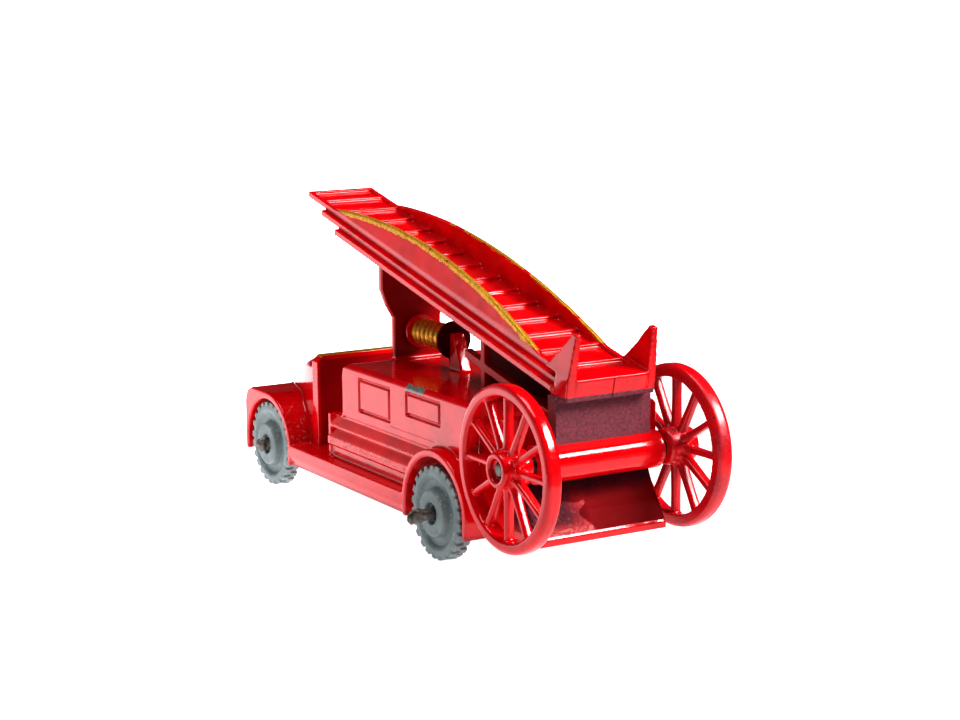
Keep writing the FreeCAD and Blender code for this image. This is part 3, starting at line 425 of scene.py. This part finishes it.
def make_body_casting():
    casting = cast("body_casting", [cad_copy(name) for name in BODY_NODES], CASTING_VOXEL)
    mesh = casting.data
    places = vertex_places(mesh)
    x, y, z = places.T
    patchy = ripple(places, 0.9)
    apron = (y > 19.0) & (z > 4.5) & (z < 9.5)
    high_up = (z + 0.3 * patchy - 6.8) / 1.4
    left_part = np.minimum((x + 0.5 * patchy - 0.8) / 2.2, (z - 4.9) / 0.6)
    apron_crust = np.where(apron, np.clip(np.maximum(high_up, left_part), 0, 1), 0.0)
    # Rough, darker skin below the floor pan and on the apron's crust; on the apron its darkness is partly
    # painted shade.
    add_mask(mesh, "rough_skin_and_shade", np.where(z < 3.2, 0.5, apron_crust))
    # Pits with pale painted glints along the locker lips, on the apron's left corner and on the front wings'
    # rear flanks.
    lips = (np.abs(x) > 7.0) & (y > -11.8) & (y < 5) & (z < 8.3) & (z > 6.1) & ((z > 7.8) | (z < 7.1))
    flank_glint_patch = (np.abs(x) > 6.5) & (np.abs(y + 19.4) < 1.1 + 0.3 * patchy) & (z > 4.6) & (z < 7.4)
    crusty_corner = apron & (x > 0.9 + 1.2 * patchy) & (z < 6.9 + 0.4 * patchy)
    pits_and_glints = np.where(lips, 0.45, 0.0)
    pits_and_glints = np.where(crusty_corner, 0.35, pits_and_glints)
    pits_and_glints = np.where(flank_glint_patch, 1.0, pits_and_glints)
    add_mask(mesh, "pits_and_glints", pits_and_glints)
    # Painted shade: darker on the backs of the scuttle and gallows, dark over the apron, less at its left
    # corner, and near-black on the reel's rear flange.
    reel_end = (np.abs(x) < 2.2) & (np.abs(y + 1.45) < 0.35) & (z > 14.9)
    scuttle_back = (np.abs(x) < 6.5) & (y > -16.3) & (y < -15.4) & (z > 5.2) & (z < 13.5)
    gallows_back = (np.abs(x) < 3.9) & (y > -8.5) & (y < -7.7) & (z > DECK_TOP / MM + 0.3)
    painted_shade_backs = scuttle_back | gallows_back
    painted_shade_and_seam = np.where(painted_shade_backs, 0.5, 0.0)
    painted_shade_and_seam = np.where(apron, 0.7, painted_shade_and_seam)
    painted_shade_and_seam = np.where(crusty_corner, 0.45, painted_shade_and_seam)
    painted_shade_and_seam = np.where(reel_end, 0.9, painted_shade_and_seam)
    add_mask(mesh, "painted_shade_and_seam", painted_shade_and_seam)
    mesh.materials.append(ENAMEL)
    mesh.materials.append(GOLD)
    mesh.materials.append(BARE)
    centres, normals = face_table(mesh)
    wobble = ripple(centres, 0.6)
    scuttle_edge = ((np.abs(centres[:, 1] + 16.2) < 0.7) & (centres[:, 2] + 0.08 * wobble > 13.78)
                    & (np.abs(centres[:, 0]) < 7.0) & (normals[:, 2] + 0.3 * wobble > 0.35))
    paint_faces(mesh, scuttle_edge, GOLD_INDEX)
    chip = ((np.abs(centres[:, 0] - 7.25) < 0.24 + 0.12 * wobble) & (np.abs(centres[:, 1] - 4.2) < 1.6)
            & (centres[:, 2] > 13.7) & (centres[:, 2] < 14.6))
    paint_faces(mesh, chip, BARE_INDEX)
    return finish_piece(casting, ROOT, ENAMEL, BODY_NODES)


# The trusses of the ladder in its own frame, in millimetres
TRUSS_MIDDLE = -24.3
TRUSS_HALF_LENGTH = 18.8
TRUSS_RISE = 2.3


def in_ladder_frame(places):
    """How far each place lies along the ladder, rearwards from its foot, and above the top of its rails."""
    turned = places - np.array(LADDER_FOOT) / MM
    along = turned[:, 1] * math.cos(LADDER_SLOPE) - turned[:, 2] * math.sin(LADDER_SLOPE)
    above = turned[:, 1] * math.sin(LADDER_SLOPE) + turned[:, 2] * math.cos(LADDER_SLOPE)
    return along, above


def make_escape_casting():
    casting = cast("escape_casting", [cad_copy(name) for name in ESCAPE_NODES], CASTING_VOXEL)
    mesh = casting.data
    places = vertex_places(mesh)
    x, y, z = places.T
    along, above = in_ladder_frame(places)
    back_plate = (np.abs(x) < 5.2) & (y > 21.0) & (z < 16.2) & (z > ESCAPE_AXLE.z / MM + 1.7)
    # The back plate's rough skin is also darker, partly painted shade on this rear-facing plate.
    add_mask(mesh, "rough_skin_and_shade", np.where(back_plate, 1.0, 0.0))
    # Painted shade: near-black on the keel and darker under the ladder; the thin dark parting line on the
    # foot's end is a real seam.
    keel = (np.abs(x) < 0.9) & (y > 4.9) & (y < 20.2) & (above < -1.9)
    parting_line = (np.abs(x + 0.15) < 0.07) & (along > 0.3) & (above < 0.05) & (above > -1.85)
    under_ladder = (above < -1.62) & (along < -2.0) & (z > DECK_TOP / MM + 0.4)
    painted_shade_and_seam = np.where(under_ladder, 0.45, 0.0)
    painted_shade_and_seam = np.where(parting_line, 0.8, painted_shade_and_seam)
    painted_shade_and_seam = np.where(keel, 0.9, painted_shade_and_seam)
    add_mask(mesh, "painted_shade_and_seam", painted_shade_and_seam)
    mesh.materials.append(ENAMEL)
    mesh.materials.append(GOLD)
    centres = face_table(mesh)[0]
    along, above = in_ladder_frame(centres)
    wobble = ripple(centres, 0.5)
    arc_radius = (TRUSS_HALF_LENGTH ** 2 + TRUSS_RISE ** 2) / (2 * TRUSS_RISE)
    from_middle = np.clip(along - TRUSS_MIDDLE, -TRUSS_HALF_LENGTH, TRUSS_HALF_LENGTH)
    below_top = TRUSS_RISE - arc_radius + np.sqrt(arc_radius ** 2 - from_middle ** 2) - above
    on_truss = (np.abs(along - TRUSS_MIDDLE) < TRUSS_HALF_LENGTH + 0.2) & (above > 0.12)
    left_band = on_truss & (centres[:, 0] > 2.66 + 0.06 * wobble) & (centres[:, 0] < 3.7)
    left_band &= below_top < 0.45 + 0.07 * wobble
    right_depth = 0.10 + 0.22 * ripple(centres, 1.1) + 0.10 * wobble
    right_band = on_truss & (centres[:, 0] < -2.4) & (below_top < right_depth) & (along > -31 + 4 * wobble)
    paint_faces(mesh, left_band | right_band, GOLD_INDEX)
    return finish_piece(casting, ROOT, ENAMEL, ESCAPE_NODES)


# ---- hose ----------------------------------------------------------------------------------------------

HOSE_TURNS = 7


def make_hose():
    """Seven turns of hose as a coil of round rings."""
    low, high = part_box("hose")
    pitch = (high.y - low.y) / HOSE_TURNS
    outer = (high.z - low.z) / 2
    section = pitch * 0.52
    bm = bmesh.new()
    for turn in range(HOSE_TURNS):
        centre = Vector((0, low.y + pitch * (turn + 0.5), (low.z + high.z) / 2))
        segments, sides = 48, 12
        rings = []
        for step in range(segments):
            angle = 2 * math.pi * step / segments
            ring = []
            for corner in range(sides):
                tilt = 2 * math.pi * corner / sides
                radius = outer - section + section * math.cos(tilt)
                ring.append(bm.verts.new(centre + Vector((radius * math.cos(angle), section * math.sin(tilt),
                                                          radius * math.sin(angle)))))
            rings.append(ring)
        for step in range(segments):
            here, following = rings[step], rings[(step + 1) % segments]
            for corner in range(sides):
                after = (corner + 1) % sides
                bm.faces.new((here[corner], here[after], following[after], following[corner]))
    hose = smooth_shade(from_bmesh("hose_coil", bm))
    return finish_piece(hose, ROOT, GOLD, ["hose"])


# ---- wheels --------------------------------------------------------------------------------------------

# Sizes in millimetres, and counts
ROAD_WHEEL_WIDTH = 1.5
TREAD_DEPTH = 0.26
TREAD_KNOBS = 24
ESCAPE_SPOKES = 12
SPOKE_MIDDLE = 8.38


def mirror(things):
    """Turn shapes made for the left side into shapes for the right side."""
    for thing in things:
        thing.data.transform(Matrix.Scale(-1, 4, Vector((1, 0, 0))))
        thing.data.flip_normals()


def make_road_wheel(node, side, axle, turn):
    """A moulded wheel with round shoulders, two rows of uneven knobs, a dish and a proud, open boss."""
    low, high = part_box(node)
    radius = (high.z - low.z) / 2 / MM
    inner, boss = min(abs(low.x), abs(high.x)) / MM, max(abs(low.x), abs(high.x)) / MM
    face = inner + ROAD_WHEEL_WIDTH
    rim = radius - TREAD_DEPTH
    profile = [
        (inner, 0.70), (inner, rim - 0.3), (inner + 0.15, rim), (face - 0.22, rim), (face - 0.05, rim - 0.22),
        (face, rim - 0.55), (face - 0.03, 3.25), (face - 0.16, 3.05), (face - 0.34, 2.9), (face - 0.42, 2.6),
        (face - 0.42, 2.2), (boss - 0.12, 2.05), (boss, 1.92), (boss, 1.02), (boss - 0.1, 0.94),
        (boss - 0.45, 0.90), (boss - 0.5, 0.70),
    ]
    centre = Vector((0, axle.y, axle.z))
    things = [lathe(node + "_disc", profile, centre)]
    rows = ((inner + 0.06, inner + ROAD_WHEEL_WIDTH * 0.46), (inner + ROAD_WHEEL_WIDTH * 0.54, face - 0.06))
    for row, (start, end) in enumerate(rows):
        for index in range(TREAD_KNOBS):
            place = index + 0.5 * row + random.uniform(-0.06, 0.06)
            angle = 2 * math.pi * place / TREAD_KNOBS + turn
            half = random.uniform(0.36, 0.43)
            top = radius - random.uniform(0.01, 0.07)
            outline = [(-half, rim - 0.4), (half, rim - 0.4), (half - 0.08, top), (-half + 0.08, top)]
            knob = prism("knob", outline, start, end)
            knob.data.transform(Matrix.Translation(centre) @ Matrix.Rotation(angle, 4, "X"))
            things.append(knob)
    if side < 0:
        mirror(things)
    wheel = cast(node + "_moulding", things, ROAD_WHEEL_VOXEL)
    return finish_piece(wheel, node, PLASTIC, [node])


def make_escape_wheel(node, side):
    """A cast wheel with a crowned tread, spokes that swell towards the hub, and a hollow boss."""
    low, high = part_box(node)
    centre = Vector((0, ESCAPE_AXLE.y, ESCAPE_AXLE.z))
    radius = (high.z - low.z) / 2 / MM
    rim_profile = [
        (7.65, 5.9), (7.65, 6.72), (7.8, 6.93), (8.1, radius), (8.7, radius), (8.98, 6.9), (9.1, 6.65),
        (9.1, 6.15), (8.9, 5.98), (8.4, 5.9),
    ]
    hub_profile = [
        (6.85, 0.70), (6.85, 1.4), (7.0, 1.55), (7.4, 1.62), (9.2, 1.6), (9.6, 1.5), (9.74, 1.35),
        (9.74, 1.05), (9.6, 0.95), (9.2, 0.92), (9.2, 0.70),
    ]
    things = [lathe(node + "_rim", rim_profile, centre, 128), lathe(node + "_hub", hub_profile, centre, 64)]
    corners = ((-1, -0.7), (-0.5, -1), (0.5, -1), (1, -0.5), (1, 0.5), (0.5, 1), (-0.5, 1), (-1, 0.7))
    stations = ((1.2, 0.42, 0.62), (2.0, 0.33, 0.45), (4.2, 0.29, 0.40), (6.1, 0.31, 0.42))
    for index in range(ESCAPE_SPOKES):
        angle = 2 * math.pi * index / ESCAPE_SPOKES
        bm = bmesh.new()
        sections = []
        for reach, half_width, half_depth in stations:
            sections.append([bm.verts.new(Vector((SPOKE_MIDDLE + half_depth * a, half_width * b, reach)) * MM)
                             for a, b in corners])
        bm.faces.new(sections[0])
        bm.faces.new(list(reversed(sections[-1])))
        for here, following in zip(sections, sections[1:]):
            for corner in range(len(corners)):
                after = (corner + 1) % len(corners)
                bm.faces.new((here[corner], following[corner], following[after], here[after]))
        spoke = from_bmesh("spoke", bm)
        spoke.data.transform(Matrix.Translation(centre) @ Matrix.Rotation(angle, 4, "X"))
        things.append(spoke)
    if side < 0:
        mirror(things)
    wheel = cast(node + "_casting", things, ESCAPE_WHEEL_VOXEL)
    # More of the rough, darker skin on the right wheel than on the left is painted shade.
    painted_shade_level = 0.08 if side > 0 else 0.40
    add_mask(wheel.data, "rough_skin_and_shade", painted_shade_level * (0.6 + 0.6 * ripple(vertex_places(wheel.data), 1.4)))
    return finish_piece(wheel, node, ENAMEL, [node])


# ---- axles ---------------------------------------------------------------------------------------------

def crushed_end(side, reach, spread, droop, seed):
    """Rings (x, tall, deep, sideways, down) of a wire end that pliers have squeezed, bent and torn."""
    rough = random.Random(seed)
    length = 2.1
    shapes = ((0.0, 0.60, 0.60), (0.15, 0.55, 0.58), (0.3, 0.50, 0.62), (0.42, 0.72, 0.50),
              (0.55, spread, 0.38), (0.68, spread * 0.86, 0.45), (0.8, spread, 0.30),
              (0.9, spread * 0.72, 0.34), (1.0, 0.30, 0.18))
    rings = []
    for share, tall, deep in shapes:
        jolt = 0.10 if 0.2 < share < 0.95 else 0.0
        rings.append((side * (reach - length * (1 - share)), tall, deep, rough.uniform(-jolt, jolt),
                      droop * share * share + rough.uniform(-jolt, jolt)))
    return rings


def make_axle(node, centre, rings, seed):
    """A wire skinned round its rings, with torn, knotty ends where the rings stray from the middle line."""
    rough = random.Random(seed)
    bm = bmesh.new()
    sides = 14
    loops = []
    for x, tall, deep, sideways, down in sorted(rings):
        loop = []
        strays = abs(sideways) + abs(down) > 0.001
        for corner in range(sides):
            angle = 2 * math.pi * corner / sides
            dent = 1 + (rough.uniform(-0.22, 0.12) if strays else 0.0)
            loop.append(bm.verts.new(Vector((x + (rough.uniform(-0.06, 0.06) if strays else 0.0),
                                             sideways + deep * dent * math.cos(angle),
                                             -down + tall * dent * math.sin(angle))) * MM))
        loops.append(loop)
    for here, following in zip(loops, loops[1:]):
        for corner in range(sides):
            after = (corner + 1) % sides
            bm.faces.new((here[corner], here[after], following[after], following[corner]))
    bm.faces.new(list(reversed(loops[0])))
    bm.faces.new(loops[-1])
    bmesh.ops.translate(bm, verts=bm.verts, vec=(0, centre.y, centre.z))
    axle = from_bmesh(node + "_wire", bm)
    rounding = axle.modifiers.new("round", "SUBSURF")
    rounding.levels = 2
    rounding.render_levels = 2
    smooth_shade(axle)
    return finish_piece(axle, node, STEEL, [node])


def plain_end(side, reach):
    """Rings (x, tall, deep, sideways, down) of a straight wire end with a small chamfer."""
    return [(side * reach, 0.42, 0.42, 0, 0), (side * (reach - 0.08), 0.56, 0.56, 0, 0),
            (side * (reach - 0.3), 0.6, 0.6, 0, 0)]


make_body_casting()
make_escape_casting()
make_hose()
for word, side in (("left", 1), ("right", -1)):
    make_road_wheel(word + "_front_wheel", side, FRONT_AXLE, 0.05)
    make_road_wheel(word + "_rear_wheel", side, REAR_AXLE, 0.02)
    make_escape_wheel(word + "_escape_wheel", side)
make_axle("front_axle", FRONT_AXLE,
          crushed_end(1, 9.95, 0.78, 0.1, 3) + crushed_end(-1, 9.9, 0.8, 0.0, 4), 5)
make_axle("rear_axle", REAR_AXLE,
          crushed_end(1, 11.15, 0.74, 0.2, 11) + crushed_end(-1, 11.0, 0.8, 0.1, 12), 13)
make_axle("escape_axle", ESCAPE_AXLE, plain_end(1, 9.45) + plain_end(-1, 9.45), 14)


# ---- studio and camera ---------------------------------------------------------------------------------

def make_floor():
    """A pale glowing table, brightest towards the front left and dark far to the rear."""
    floor = new_object("floor", bpy.data.meshes.new("floor"))
    bm = bmesh.new()
    bmesh.ops.create_grid(bm, x_segments=1, y_segments=1, size=6.0)
    bm.to_mesh(floor.data)
    bm.free()
    paper = Nodes("pale_floor")

    def along(direction):
        distance = paper.tree.nodes.new("ShaderNodeVectorMath")
        distance.operation = "DOT_PRODUCT"
        distance.inputs[1].default_value = direction
        paper.link(paper.coordinates.outputs["Object"], distance.inputs[0])
        return distance.outputs["Value"]

    rear_right = paper.ramp(along((-1.047, 1, 0)), 95 * MM, 66 * MM)
    rear_left = paper.ramp(along((0.626, 1, 0)), 95 * MM, 62 * MM)
    fade = paper.math("MULTIPLY", rear_right, rear_left)
    glow = paper.ramp(along((0.51, -0.84, 0)), 5 * MM, 38 * MM, 0.78, 1.7)
    grain = paper.noise(0.02, 2.0)
    pale = paper.mix(grain, (0.30, 0.30, 0.30), (0.32, 0.32, 0.32))
    paper.set(Base_Color=paper.mix(fade, (0.08, 0.08, 0.08), pale), Roughness=0.8,
              Emission_Color=(0.99, 0.97, 1.0), Emission_Strength=product(paper.tree, fade, glow))
    floor.data.materials.append(paper.material)


def make_world():
    """A bright low horizon towards the front left under a dark ceiling; the rest of the room is dark."""
    world = bpy.data.worlds.new("studio")
    bpy.context.scene.world = world
    world.use_nodes = True
    tree = world.node_tree
    background = tree.nodes["Background"]
    coordinates = tree.nodes.new("ShaderNodeTexCoord")
    separate = tree.nodes.new("ShaderNodeSeparateXYZ")
    tree.links.new(coordinates.outputs["Generated"], separate.inputs[0])
    leftwards = smooth_step(tree, separate.outputs["X"], 0.0, 0.45, 0.04, 0.65)
    forwards = smooth_step(tree, separate.outputs["Y"], 0.30, -0.30, 0.2, 1.0)
    ceiling = smooth_step(tree, separate.outputs["Z"], 0.18, 0.50, 1.0, 0.05)
    strength = product(tree, product(tree, leftwards, forwards), ceiling)
    tree.links.new(strength, background.inputs["Strength"])
    background.inputs["Color"].default_value = (1, 1, 1, 1)


def softbox(name, place, target, width, height, power):
    light = bpy.data.lights.new(name, "AREA")
    light.shape = "RECTANGLE"
    light.size = width
    light.size_y = height
    light.energy = power
    lamp = bpy.data.objects.new(name, light)
    bpy.context.scene.collection.objects.link(lamp)
    lamp.location = place
    lamp.rotation_euler = (Vector(target) - Vector(place)).to_track_quat("-Z", "Y").to_euler()


def make_lights():
    """A strong softbox high on the camera's right, a larger, weaker one overhead, and the exposure."""
    softbox("key", place=(-0.22, 0.26, 0.29), target=(0, 0, 0.015), width=0.20, height=0.18, power=2.1)
    softbox("overhead", place=(0.05, -0.03, 0.42), target=(0, 0, 0.01), width=0.24, height=0.24, power=0.75)
    view = bpy.context.scene.view_settings
    view.view_transform = "Standard"
    view.exposure = 0.43
    view.gamma = 0.77


def make_camera():
    """The photo's camera, solved from matching left and right points of the engine."""
    place = Vector((96.216, 163.172, 49.776)) * MM
    yaw = math.radians(31.02)
    pitch = math.radians(10.32)
    roll = math.radians(-0.37)
    data = bpy.data.cameras.new("camera")
    data.lens = 79.35
    data.sensor_width = 36
    data.clip_start = 0.01
    camera = bpy.data.objects.new("camera", data)
    bpy.context.scene.collection.objects.link(camera)
    turn = Matrix.Rotation(math.pi - yaw, 4, "Z") @ Matrix.Rotation(math.pi / 2 - pitch, 4, "X")
    camera.matrix_world = Matrix.Translation(place) @ turn @ Matrix.Rotation(roll, 4, "Z")
    bpy.context.scene.camera = camera


make_floor()
make_world()
make_lights()
make_camera()
